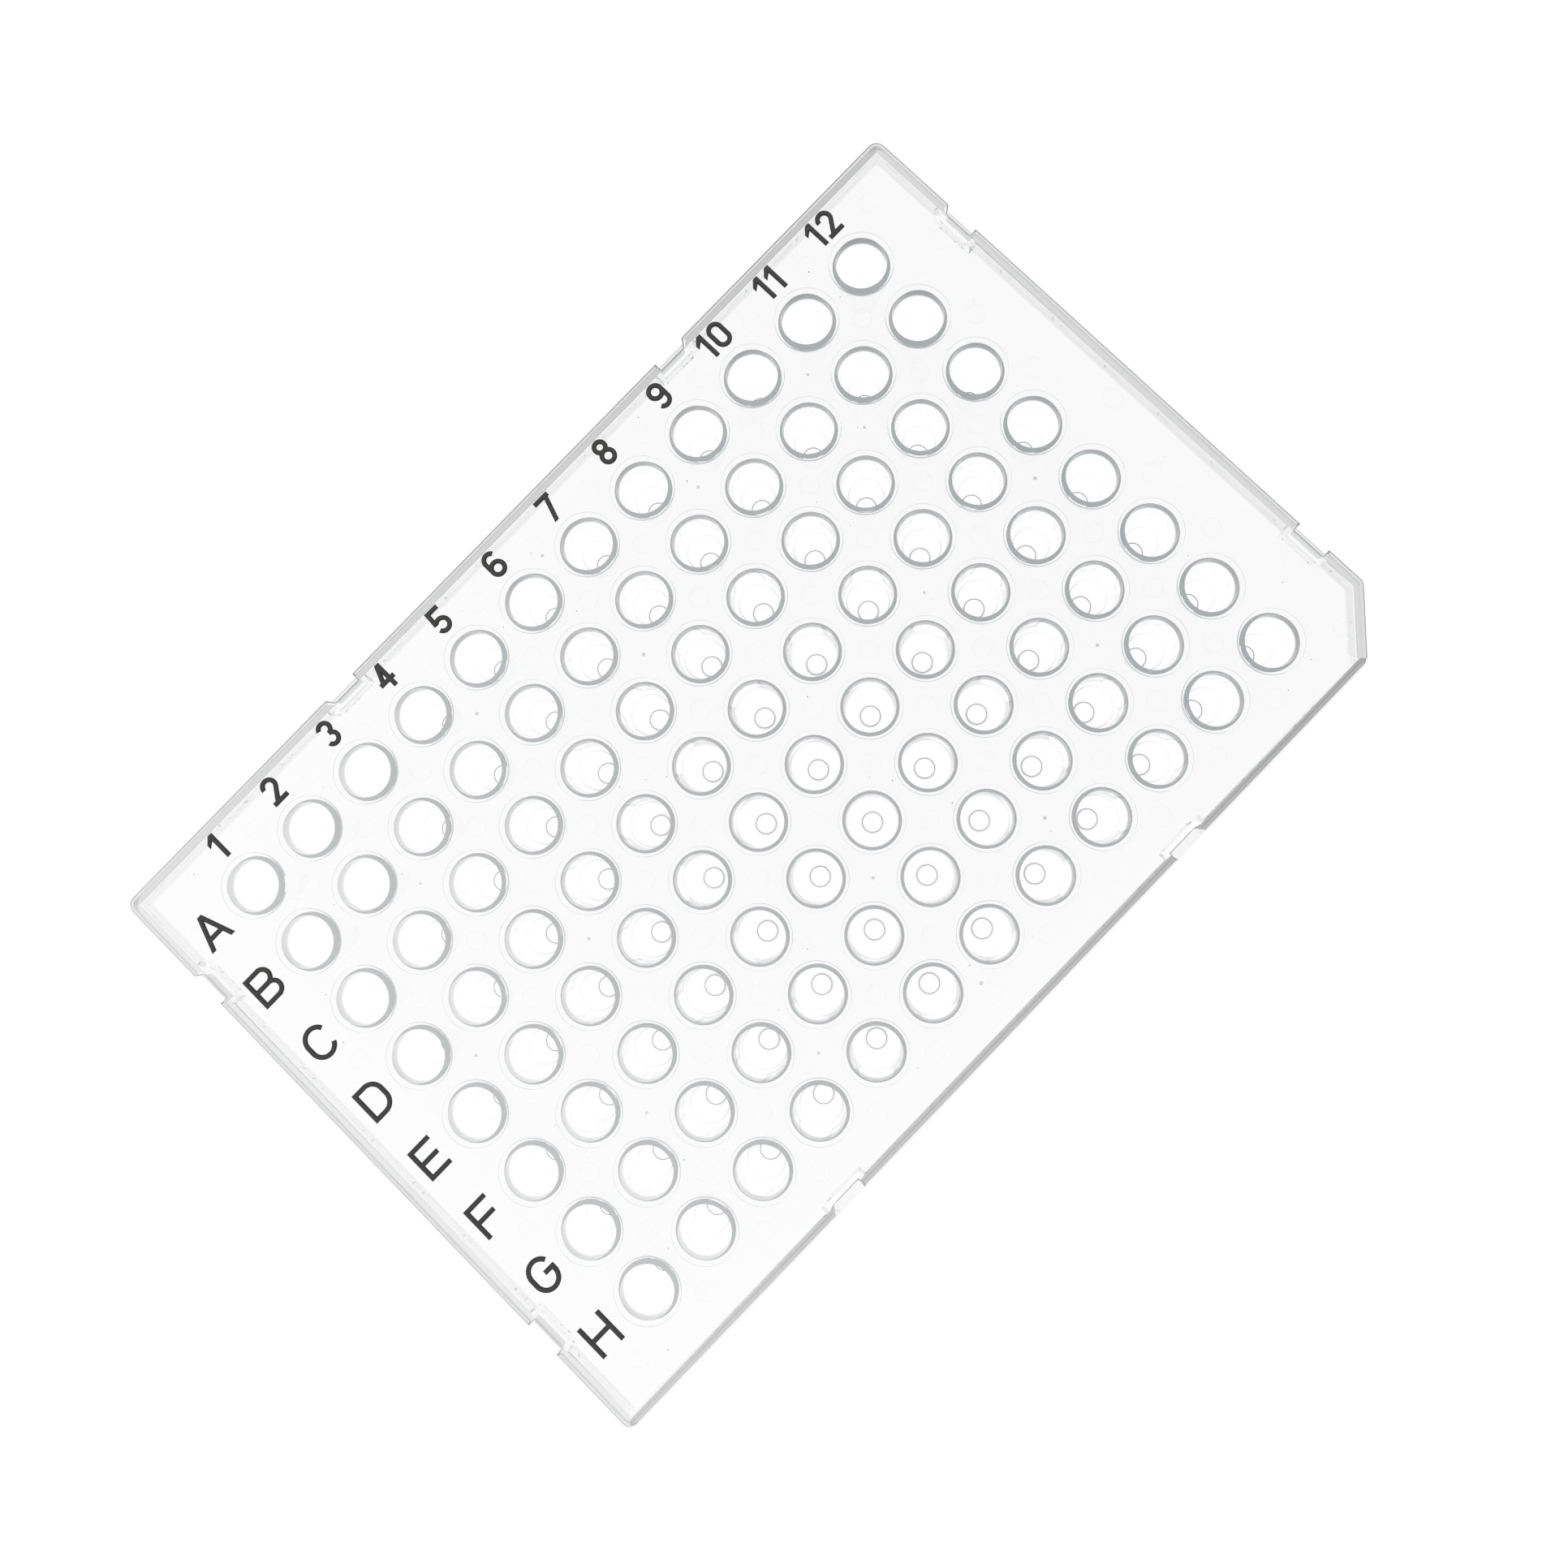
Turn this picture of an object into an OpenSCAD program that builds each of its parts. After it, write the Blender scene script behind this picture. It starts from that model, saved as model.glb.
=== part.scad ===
// Low-profile semi-skirted plate with 96 conical wells, moulded in one piece,
// with raised characters that carry black ink.
// Frame: origin under the middle of the plate, on the plane that the well bottoms stand on,
// X along the numbered columns, Y towards row A, Z up. Millimetres.

/* [Wells] */
// Number of wells along X, the numbered columns
col_count = 12; // [3:1:12]
// Number of wells along Y, the lettered rows
row_count = 8; // [3:1:8]
// Distance between the axes of neighbouring wells
pitch = 9; // [8.5:0.1:9.5]
// Radius of the bore at the mouth of a well
mouth_r = 2.975; // [2.8:0.025:3.1]
// Radius of the bore where the upper part meets the cone
knee_r = 2.75; // [2.6:0.05:2.9]
// Radius of the flat floor inside a well
floor_r = 1.25; // [0.9:0.05:1.5]
// Included angle of the cone, in degrees
cone_angle = 17.5; // [16:0.5:20]
// Thickness of a well's wall around the cone
cone_wall = 0.35; // [0.25:0.05:0.45]
// Thickness of a well's wall under the deck
throat_wall = 0.35; // [0.3:0.05:0.5]
// Thickness of the floor of a well
floor_t = 0.4; // [0.3:0.05:0.8]
// Chamfer around the foot of a well
foot_chamfer = 0.35; // [0.2:0.05:0.5]

/* [Deck] */
// Height of the deck's upper face above the well bottoms
deck_z = 15; // [14:0.5:20]
// Thickness of the deck
deck_t = 1.5; // [1:0.1:2]
// Outer radius of the raised rim around a well's mouth
rim_r = 3.725; // [3.6:0.025:4]
// Height of the raised rims above the deck
rim_h = 0.5; // [0.3:0.1:1]

/* [Skirt] */
// Length of the deck along X, over its upper edge
deck_l = 122.95; // [120:0.05:126]
// Width of the deck along Y, over its upper edge
deck_w = 81.3; // [80:0.05:84]
// Height of the skirt, from the deck's upper face to its lower rim
skirt_h = 5.7; // [5:0.1:9]
// Thickness of the skirt's wall at the deck
skirt_top_t = 0.75; // [0.6:0.05:1.2]
// Thickness of the skirt's wall at its lower rim
skirt_rim_t = 1.3; // [1:0.05:1.6]
// How far the skirt's outer face leans out between the deck and the lower rim
skirt_draft = 0.65; // [0.3:0.05:0.9]
// Radius of the deck's corners in plan
corner_r = 1.2; // [1:0.1:4]
// Leg of the cut corner beside well H12
cut_leg = 6.4; // [5:0.2:8]
// Radius where the cut corner meets the long and the short side
cut_r = 1.2; // [1:0.1:3]

/* [Notches] */
// Distance from the plate's centre lines to the middle of a notch, in well pitches
notch_pitches = 3; // [2:0.5:3]
// Width of a notch at the deck's edge
notch_w = 4.3; // [3:0.1:6]
// Depth of a notch, inward from the deck's edge
notch_d = 0.95; // [0.6:0.05:1.2]
// Height of a notch, down from the deck's upper face
notch_h = 3.7; // [2:0.1:4.2]
// How much narrower a notch with a slanted end is at its back
notch_slant = 0.7; // [0.1:0.1:1]
// Thickness of the wall behind and below a notch
notch_wall = 0.7; // [0.5:0.05:1]

/* [Characters] */
// Cap height of the row letters
letter_h = 4.2; // [3:0.1:5]
// Width of the row letters
letter_w = 3.4; // [2.5:0.1:3.6]
// Cap height of the column numbers
digit_h = 3.4; // [2.5:0.1:3.6]
// Width of a digit
digit_w = 2.15; // [1.8:0.05:2.5]
// Width of the digit 1
one_w = 1.35; // [1.2:0.05:1.6]
// Gap between the two digits of a number
digit_gap = 0.45; // [0.3:0.05:0.8]
// Width of a stroke
stroke = 0.6; // [0.4:0.05:0.7]
// Height of the characters above the deck
char_rise = 0.25; // [0.15:0.05:0.5]
// Distance from the first column's axes to the middle of the letters
letter_reach = 6.9; // [6.2:0.1:8]
// Distance between the middles of neighbouring letters
letter_pitch = 8.94; // [8.9:0.02:9.1]
// Distance from row A's axes to the middle of the numbers
number_reach = 6.2; // [6:0.1:6.6]

/* [Hidden] */
$fn = 48;

far = 1;                                   // how far a cutter runs past what it cuts
margin_w = min(corner_r, cut_r) - 0.1;     // width of the deck's margin, swept with the skirt
arc_step = 12;                             // angle of one facet of a round stroke, in degrees
deck_under_z = deck_z - deck_t;
skirt_z = deck_z - skirt_h;
notch_floor_z = deck_z - notch_h;
col_x = [for (c = [0 : col_count - 1]) (c - (col_count - 1) / 2) * pitch];
row_y = [for (r = [0 : row_count - 1]) ((row_count - 1) / 2 - r) * pitch];

// Height at which the cone meets the upper bore
knee_z = floor_t + (knee_r - floor_r) / tan(cone_angle / 2);

// ---- rounded outline -------------------------------------------------------

// Corners of the deck's edge, anticlockwise from the cut corner: [x, y, radius]
edge_corners = [
    [deck_l / 2 - cut_leg, -deck_w / 2, cut_r],
    [deck_l / 2, -deck_w / 2 + cut_leg, cut_r],
    [deck_l / 2, deck_w / 2, corner_r],
    [-deck_l / 2, deck_w / 2, corner_r],
    [-deck_l / 2, -deck_w / 2, corner_r],
];
corner_count = len(edge_corners);

function corner(i) = edge_corners[(i + corner_count) % corner_count];
function plan(p) = [p[0], p[1]];
function heading(i) =
    let (d = plan(corner(i + 1)) - plan(corner(i))) atan2(d[1], d[0]);
function turn(i) = (heading(i) - heading(i - 1) + 720) % 360;
function trim(i) = corner(i)[2] * tan(turn(i) / 2);
function along(a) = [cos(a), sin(a)];
function outward(a) = [sin(a), -cos(a)];
// Centre of the round at corner i
function round_centre(i) =
    plan(corner(i)) - along(heading(i - 1)) * trim(i) - outward(heading(i - 1)) * corner(i)[2];
// Corner i of the outline moved inward by d
function inset_corner(i, d) =
    plan(corner(i)) - (outward(heading(i - 1)) + outward(heading(i))) * d / (1 + cos(turn(i)));

// Sweeps its 2D child around the deck's edge. The child's X is the distance outward
// from the edge, and its Y is the height.
module around_edge() {
    for (i = [0 : corner_count - 1]) {
        run = norm(plan(corner(i + 1)) - plan(corner(i))) - trim(i) - trim(i + 1);
        start = plan(corner(i)) + along(heading(i)) * trim(i);
        translate([start[0], start[1], 0])
            rotate([90, 0, heading(i) - 90])
                mirror([0, 0, 1])
                    linear_extrude(height = run) children();
        centre = round_centre(i);
        translate([centre[0], centre[1], 0])
            rotate([0, 0, heading(i - 1) - 90])
                rotate_extrude(angle = turn(i)) translate([corner(i)[2], 0]) children();
    }
}

// ---- plate -----------------------------------------------------------------

// Section of the skirt's wall with the margin of the deck
module skirt_section() {
    polygon([
        [0, deck_z],
        [skirt_draft, skirt_z],
        [skirt_draft - skirt_rim_t, skirt_z],
        [-skirt_top_t, deck_under_z],
        [-margin_w, deck_under_z],
        [-margin_w, deck_z],
    ]);
}

// Deck panel, open at the wells; its edge lies inside the swept margin
module deck_panel() {
    edge_inset = (skirt_top_t + margin_w) / 2;
    hole_r = mouth_r + throat_wall / 2;
    translate([0, 0, deck_under_z])
        linear_extrude(height = deck_t)
            difference() {
                polygon([for (i = [0 : corner_count - 1]) inset_corner(i, edge_inset)]);
                for (x = col_x, y = row_y) translate([x, y]) circle(r = hole_r);
            }
}

// One well with its raised rim
module well() {
    bore_top_z = deck_z + rim_h;
    throat_r = mouth_r + throat_wall;
    cone_skin = cone_wall / cos(cone_angle / 2);
    cone_slope = tan(cone_angle / 2);
    foot_z = foot_chamfer;
    rotate_extrude()
        polygon([
            [0, 0],
            [floor_r + cone_skin - foot_chamfer / 2, 0],
            [floor_r + cone_skin + (foot_z - floor_t) * cone_slope, foot_z],
            [knee_r + cone_skin, knee_z],
            [throat_r, deck_under_z],
            [throat_r, deck_z - deck_t / 2],
            [rim_r, deck_z - deck_t / 2],
            [rim_r, bore_top_z],
            [mouth_r, bore_top_z],
            [knee_r, knee_z],
            [floor_r, floor_t],
            [0, floor_t],
        ]);
}

// Wall behind and below one notch, at the middle of a side that faces +X
module notch_back() {
    length = notch_w + 2 * notch_wall;
    translate([-notch_d - notch_wall, -length / 2, notch_floor_z - notch_wall])
        cube([notch_d + notch_wall - skirt_top_t / 2, length, notch_h + notch_wall - deck_t / 2]);
}

// Cutter for one notch in the skirt's outer face, at the middle of a side that faces +X.
// Its end towards +Y is slanted by slant.
module notch_cutter(slant) {
    reach = skirt_draft + far;
    half = notch_w / 2;
    translate([0, 0, notch_floor_z])
        linear_extrude(height = notch_h + far)
            polygon([
                [-notch_d, -half],
                [reach, -half],
                [reach, half],
                [0, half],
                [-notch_d, half - slant],
            ]);
}

// Puts its child on the four sides where a notch is. Side and end are -1 or 1.
module on_long_side(side, end) {
    translate([end * notch_pitches * pitch, side * deck_w / 2, 0])
        rotate([0, 0, side * 90])
            mirror([0, side * end > 0 ? 1 : 0, 0])
                children();
}

module on_short_side(side, end) {
    translate([side * deck_l / 2, end * notch_pitches * pitch, 0])
        rotate([0, 0, side > 0 ? 0 : 180])
            mirror([0, side < 0 ? 1 : 0, 0])
                children();
}

module notch_backs() {
    for (side = [-1, 1], end = [-1, 1]) {
        on_long_side(side, end) notch_back();
        on_short_side(side, end) notch_back();
    }
}

// On the long sides each slanted end looks towards the nearer corner; on the short sides
// only the notch nearer row A has one.
module notch_cutters() {
    for (side = [-1, 1], end = [-1, 1]) {
        on_long_side(side, end) notch_cutter(notch_slant);
        on_short_side(side, end) notch_cutter(end > 0 ? notch_slant : 0);
    }
}

module plate() {
    color([0.93, 0.94, 0.94, 0.7])
        difference() {
            union() {
                deck_panel();
                around_edge() skirt_section();
                notch_backs();
                for (x = col_x, y = row_y) translate([x, y, 0]) well();
            }
            notch_cutters();
        }
}

// ---- characters ------------------------------------------------------------
// A glyph is drawn about its own middle. In each, a and b are half its height and half its
// width, measured to the middle of the stroke.

function digit_span(value) = value == 1 ? one_w : digit_w;

// Straight stroke from p to q, with square ends
module bar(p, q) {
    d = q - p;
    translate(p) rotate(atan2(d[1], d[0]))
        translate([-stroke / 2, -stroke / 2]) square([norm(d) + stroke, stroke]);
}

// Leaning stroke from p up to q, cut level at both ends. Where it meets a bar, its end is
// set inward, so that its corner ends flush with the bar's.
module leg(p, q) {
    lean = (q[0] - p[0]) / (q[1] - p[1]);
    half = stroke / 2 * sqrt(1 + lean * lean);
    low = [p[0] - lean * stroke / 2, p[1] - stroke / 2];
    high = [q[0] + lean * stroke / 2, q[1] + stroke / 2];
    polygon([low - [half, 0], low + [half, 0], high + [half, 0], high - [half, 0]]);
}

// Round stroke of radius r about c, from angle s to angle e
module bend(c, r, s, e) {
    steps = max(4, ceil(abs(e - s) / arc_step));
    ring = [for (i = [0 : steps]) s + (e - s) * i / steps];
    translate(c)
        polygon(concat(
            [for (t = ring) (r + stroke / 2) * along(t)],
            [for (i = [steps : -1 : 0]) (r - stroke / 2) * along(ring[i])]
        ));
}

// Full ring of radius r about c
module hoop(c, r) {
    translate(c) difference() {
        circle(r = r + stroke / 2);
        circle(r = r - stroke / 2);
    }
}

// Half-round bowl on the right of x = -b, between heights lo and hi
module bowl(b, lo, hi) {
    r = (hi - lo) / 2;
    bar([-b, hi], [b - r, hi]);
    bar([-b, lo], [b - r, lo]);
    bend([b - r, (lo + hi) / 2], r, -90, 90);
}

module letter(name) {
    a = (letter_h - stroke) / 2;
    b = (letter_w - stroke) / 2;
    if (name == "A") {
        crossbar = -a * 0.42;
        leg([-b, -a], [-b * 0.08, a]);
        leg([b, -a], [b * 0.08, a]);
        bar([-b / 2, crossbar], [b / 2, crossbar]);
    }
    if (name == "B") {
        bar([-b, -a], [-b, a]);
        bowl(b * 0.92, 0, a);
        bowl(b, -a, 0);
    }
    if (name == "C" || name == "G") {
        bend([0, a - b], b, 25, 180);
        bend([0, b - a], b, 180, name == "C" ? 335 : 360);
        bar([-b, b - a], [-b, a - b]);
    }
    if (name == "G") {
        bar([b, b - a], [b, 0]);
        bar([b * 0.35, 0], [b, 0]);
    }
    if (name == "D") {
        bar([-b, -a], [-b, a]);
        bar([-b, a], [0, a]);
        bar([-b, -a], [0, -a]);
        bend([0, a - b], b, 0, 90);
        bend([0, b - a], b, -90, 0);
        bar([b, b - a], [b, a - b]);
    }
    if (name == "E" || name == "F") {
        bar([-b, -a], [-b, a]);
        bar([-b, a], [b * 0.8, a]);
        bar([-b, 0], [b * 0.6, 0]);
    }
    if (name == "E") bar([-b, -a], [b * 0.8, -a]);
    if (name == "H") {
        bar([-b, -a], [-b, a]);
        bar([b, -a], [b, a]);
        bar([-b, 0], [b, 0]);
    }
}

module digit(value) {
    a = (digit_h - stroke) / 2;
    b = (digit_span(value) - stroke) / 2;
    if (value == 0) {
        bend([0, a - b], b, 0, 180);
        bend([0, b - a], b, 180, 360);
        bar([-b, b - a], [-b, a - b]);
        bar([b, b - a], [b, a - b]);
    }
    if (value == 1) {
        flag = 2.3 * stroke;
        bar([b, -a], [b, a]);
        polygon([
            [b, digit_h / 2],
            [b - stroke / 2, digit_h / 2],
            [-one_w / 2, digit_h / 2 + stroke - flag],
            [-one_w / 2, digit_h / 2 - flag],
            [b, digit_h / 2 - stroke],
        ]);
    }
    if (value == 2) {
        centre = [0, a - b];
        sweep_end = -36;
        bend(centre, b, sweep_end, 180);
        polygon([
            centre + (b + stroke / 2) * along(sweep_end),
            centre + (b - stroke / 2) * along(sweep_end),
            [-b - stroke / 2, -a - stroke / 2],
            [-b + stroke * 0.75, -a - stroke / 2],
        ]);
        bar([-b, -a], [b, -a]);
    }
    if (value == 3) {
        bend([0, a / 2], a / 2, -90, 165);
        bend([0, -a / 2], a / 2, -165, 90);
    }
    if (value == 4) {
        stem = b * 0.5;
        crossbar = -a * 0.42;
        bar([stem, -a], [stem, a]);
        leg([-b * 0.8, crossbar], [b * 0.3, a]);
        bar([-b, crossbar], [b, crossbar]);
    }
    if (value == 5) {
        bar([-b * 0.7, a], [b * 0.9, a]);
        bar([-b * 0.7, a], [-b * 0.85, 0]);
        bend([0, b - a], b, -160, 140);
    }
    if (value == 6) {
        hoop([0, b - a], b);
        bend([0, a - b], b, 30, 180);
        bar([-b, b - a], [-b, a - b]);
    }
    if (value == 7) {
        bar([-b, a], [b, a]);
        leg([-b * 0.4, -a], [b * 0.85, a]);
    }
    if (value == 8) {
        upper = a * 0.47;
        hoop([0, a - upper], upper);
        hoop([0, -upper], a - upper);
    }
    if (value == 9) rotate(180) digit(6);
}

// A number of one or two digits, centred
module number(value) {
    tens = floor(value / 10);
    ones = value % 10;
    width = digit_span(tens) + digit_gap + digit_span(ones);
    if (tens == 0) digit(ones);
    if (tens > 0) {
        translate([(digit_span(tens) - width) / 2, 0]) digit(tens);
        translate([(width - digit_span(ones)) / 2, 0]) digit(ones);
    }
}

module well_labels() {
    row_names = "ABCDEFGH";
    color([0.17, 0.18, 0.17])
        translate([0, 0, deck_z])
            linear_extrude(height = char_rise) {
                for (r = [0 : row_count - 1])
                    translate([col_x[0] - letter_reach, row_y[0] - r * letter_pitch])
                        letter(row_names[r]);
                for (c = [0 : col_count - 1])
                    translate([col_x[c], row_y[0] + number_reach]) number(c + 1);
            }
}

plate();
well_labels();
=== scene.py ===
"""Visual model of a low-profile plate with 96 wells, built around the frame of the CAD part.

The moulding is one closed mesh: a grid of well cells, joined to a deck, and a drafted skirt
with its notches. The inked characters are bevelled from the CAD solids. All sizes in the
classes below are millimetres in the frame of the CAD part; meshes are made in metres.
"""

from __future__ import annotations

import logging
import math
from dataclasses import dataclass, field
from enum import Enum
from functools import partial
from typing import Callable, Iterable, Sequence

import bmesh
import bpy
import numpy as np
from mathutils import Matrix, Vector

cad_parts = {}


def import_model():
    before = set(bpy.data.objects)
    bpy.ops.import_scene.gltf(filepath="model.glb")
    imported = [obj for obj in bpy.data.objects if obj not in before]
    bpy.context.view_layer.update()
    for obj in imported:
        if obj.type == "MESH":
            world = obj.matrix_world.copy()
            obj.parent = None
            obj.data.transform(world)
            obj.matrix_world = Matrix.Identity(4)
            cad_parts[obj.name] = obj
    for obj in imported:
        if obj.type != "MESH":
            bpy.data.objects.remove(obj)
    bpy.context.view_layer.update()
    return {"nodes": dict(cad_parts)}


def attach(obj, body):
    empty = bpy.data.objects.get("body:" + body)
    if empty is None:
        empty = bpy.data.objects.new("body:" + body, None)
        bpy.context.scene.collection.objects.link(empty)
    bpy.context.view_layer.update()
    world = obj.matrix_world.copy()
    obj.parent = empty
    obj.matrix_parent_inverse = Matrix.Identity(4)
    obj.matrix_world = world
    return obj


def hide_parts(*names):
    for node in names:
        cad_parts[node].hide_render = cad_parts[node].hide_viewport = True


logging.basicConfig(level=logging.INFO, format="%(message)s")
log = logging.getLogger("well_plate")

Adder = Callable[..., bpy.types.Node]

MM = 0.001
# vertices nearer to each other than this, in millimetres, are one
MERGE_MM = 0.0005
# tones nearer to each other than this are the same
SAME_TONE = 1e-4
WHITE = (1.0, 1.0, 1.0, 1.0)


class Slot(Enum):
    """Names for the part's material slots, which the pieces are not given."""

    BODY = "plate_body"
    INK = "label_ink"


@dataclass(frozen=True)
class Tone:
    """How the plastic looks at a place: the share of light that a face of the first wall lets
    through, how bright the light is that stays caught in that wall, and the share that a face
    of a wall further on lets through."""

    passing: float
    caught: float
    deep: float = 1.0


class Region(Enum):
    """Where a face lies on the moulding, with the tone there. Most tones are painted light and
    shade: dark lines at the mouth, the throat, the floor's edge and the deck's edge, grey bands
    of light caught in walls seen along their length, and the shaded bands of row A's and row
    H's sides. The ejector line, the gate and the fleck are the plate's own marks.
    """

    DECK = Tone(0.96, 0.55)
    RIM_EDGE = Tone(1.0, 0.95)
    RIM_WALL = Tone(1.0, 0.95)
    MOUTH_EDGE = Tone(0.5, 0.4)
    THROAT_TOP = Tone(0.9, 0.5)
    THROAT_LINE = Tone(0.5, 0.5)
    THROAT_SOFT = Tone(0.72, 0.5)
    THROAT = Tone(1.0, 0.5)
    KNEE = Tone(0.97, 0.5)
    CONE = Tone(1.0, 0.5)
    FLOOR_EDGE = Tone(0.3, 0.5)
    FOOT = Tone(1.0, 1.0)
    DECK_EDGE = Tone(0.4, 0.6)
    SKIRT_OUT = Tone(1.0, 0.92)
    SKIRT_IN = Tone(0.9, 0.85)
    SKIRT_RIM = Tone(0.95, 0.6, 0.96)
    SKIRT_LINE = Tone(0.92, 0.9, 0.95)
    BACKING = Tone(1.0, 1.0)
    EDGE_OUTER = Tone(0.95, 0.8, 0.9)
    EDGE_BAND = Tone(0.7, 0.8, 0.9)
    EDGE_STREAK = Tone(0.67, 0.8, 0.9)
    EDGE_INNER = Tone(0.71, 0.8, 0.9)
    EDGE_SOFT = Tone(0.88, 0.8, 0.9)
    # painted shade on row A's side
    SHADED_EDGE = Tone(0.24, 0.4)
    SHADED_BAND = Tone(0.56, 0.7, 0.9)
    SHADED_STREAK = Tone(0.54, 0.7, 0.9)
    # painted shade, darker still, on row H's side
    CLOUDY_BAND = Tone(0.42, 0.5, 0.9)
    CLOUDY_STREAK = Tone(0.31, 0.5, 0.9)
    EJECTOR_LINE = Tone(0.95, 0.9)
    GATE = Tone(0.75, 0.5)
    FLECK = Tone(0.2, 0.2)


TONE_LAYERS = ("passing", "caught", "deep")


# ---- sizes ------------------------------------------------------------------


@dataclass(frozen=True)
class WellSizes:
    """One well and its raised rim."""

    columns: int = 12
    rows: int = 8
    pitch: float = 9.0
    mouth_r: float = 2.975
    knee_r: float = 2.75
    knee_z: float = 10.146
    floor_r: float = 1.25
    floor_z: float = 0.4
    throat_r: float = 3.325
    cone_out_r: float = 3.104
    foot_r: float = 1.429
    foot_side_r: float = 1.596
    foot_z: float = 0.35
    rim_r: float = 3.725
    rim_z: float = 15.5
    rim_edge: float = 0.015
    mouth_edge: float = 0.04
    throat_top: float = 0.25
    throat_lines: tuple[float, float, float] = (0.4, 0.32, 0.05)
    knee_half: float = 0.15
    under_edge: float = 0.02
    steps_per_side: int = 10

    def bore_r(self, z: float) -> float:
        """Radius of the bore at a height z between the knee and the mouth."""
        share = (z - self.knee_z) / (self.rim_z - self.knee_z)
        return self.knee_r + (self.mouth_r - self.knee_r) * share

    def top_profile(self, deck_z: float, under_z: float) -> list[tuple[float, float, Region]]:
        """Radii and heights from the deck, over the rim and down to the floor.

        Args:
            deck_z: height of the deck's upper face.
            under_z: height of the deck's underside.

        Returns:
            Points from the outside to the floor's edge, each with the region of the band that
            ends there.
        """
        edge, top_z = self.rim_edge, deck_z - self.throat_top
        line_z, foot_z, soft_z = (under_z + above for above in self.throat_lines)
        return [
            (self.rim_r + edge, deck_z, Region.DECK),
            (self.rim_r, deck_z + edge, Region.RIM_EDGE),
            (self.rim_r, self.rim_z - edge, Region.RIM_WALL),
            (self.rim_r - edge, self.rim_z, Region.RIM_EDGE),
            (self.mouth_r + self.mouth_edge, self.rim_z, Region.DECK),
            (self.mouth_r, self.rim_z - self.mouth_edge, Region.MOUTH_EDGE),
            (self.bore_r(top_z), top_z, Region.THROAT_TOP),
            (self.bore_r(line_z), line_z, Region.THROAT),
            (self.bore_r(foot_z), foot_z, Region.THROAT_LINE),
            (self.bore_r(soft_z), soft_z, Region.THROAT_SOFT),
            (self.knee_r + 0.008, self.knee_z + self.knee_half, Region.THROAT),
            (self.knee_r - 0.03, self.knee_z - self.knee_half, Region.KNEE),
            (self.floor_r + 0.04, self.floor_z + 0.24, Region.CONE),
            (self.floor_r - 0.01, self.floor_z + 0.05, Region.CONE),
            (self.floor_r - 0.11, self.floor_z, Region.FLOOR_EDGE),
        ]

    def under_profile(self, under_z: float) -> list[tuple[float, float, Region]]:
        """Radii and heights from the deck's underside down to the foot.

        Args:
            under_z: height of the deck's underside.

        Returns:
            Points from the outside to the foot's edge, each with the region of the band that
            ends there.
        """
        edge = self.under_edge
        return [
            (self.throat_r + 0.07, under_z, Region.DECK),
            (self.throat_r + edge, under_z - edge, Region.THROAT),
            (self.throat_r, under_z - 0.08, Region.THROAT),
            (self.cone_out_r, self.knee_z + 0.05, Region.THROAT),
            (self.foot_side_r + 0.01, self.foot_z + 0.08, Region.CONE),
            (self.foot_side_r - 0.05, self.foot_z - 0.15, Region.FOOT),
            (self.foot_r + 0.04, 0.03, Region.FOOT),
            (self.foot_r - 0.06, 0.0, Region.FOOT),
        ]


@dataclass(frozen=True)
class PlateSizes:
    """The deck and the skirt round it."""

    deck_l: float = 122.95
    deck_w: float = 81.3
    deck_z: float = 15.0
    deck_t: float = 1.5
    skirt_h: float = 5.7
    skirt_top_t: float = 0.75
    skirt_rim_t: float = 1.3
    draft: float = 0.65
    corner_r: float = 1.2
    cut_leg: float = 6.4
    cut_r: float = 1.2
    notch_at: float = 27.0
    notch_w: float = 4.3
    notch_d: float = 0.95
    notch_h: float = 3.7
    notch_slant: float = 0.7
    notch_wall: float = 0.7
    edge_r: float = 0.16
    rim_edge: float = 0.08
    fillet_r: float = 0.2
    band_gap: float = 0.06
    band_crowd: float = 0.1
    edge_band: tuple[tuple[float, Region], ...] = (
        (0.42, Region.EDGE_BAND),
        (0.58, Region.EDGE_STREAK),
        (0.7, Region.EDGE_BAND),
        (0.95, Region.EDGE_INNER),
        (1.16, Region.DECK),
        (1.28, Region.EDGE_SOFT),
        (2.2, Region.DECK),
    )

    @property
    def under_z(self) -> float:
        """Height of the deck's underside."""
        return self.deck_z - self.deck_t

    @property
    def rim_z(self) -> float:
        """Height of the skirt's lower rim."""
        return self.deck_z - self.skirt_h

    @property
    def notch_z(self) -> float:
        """Height of a notch's floor."""
        return self.deck_z - self.notch_h

    def lean(self, z: float) -> float:
        """How far the skirt's outer face has leaned out at a height z."""
        return self.draft * (self.deck_z - z) / self.skirt_h

    def inside(self, z: float) -> float:
        """Distance of the skirt's inner face from the deck's edge at a height z, outward."""
        low = self.draft - self.skirt_rim_t
        share = (z - self.rim_z) / (self.under_z - self.rim_z)
        return low + (-self.skirt_top_t - low) * share


# ---- mesh making ------------------------------------------------------------


def unit(v: np.ndarray) -> np.ndarray:
    """A vector, or each row of an array, scaled to length 1."""
    return v / np.linalg.norm(v, axis=-1, keepdims=True)


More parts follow.
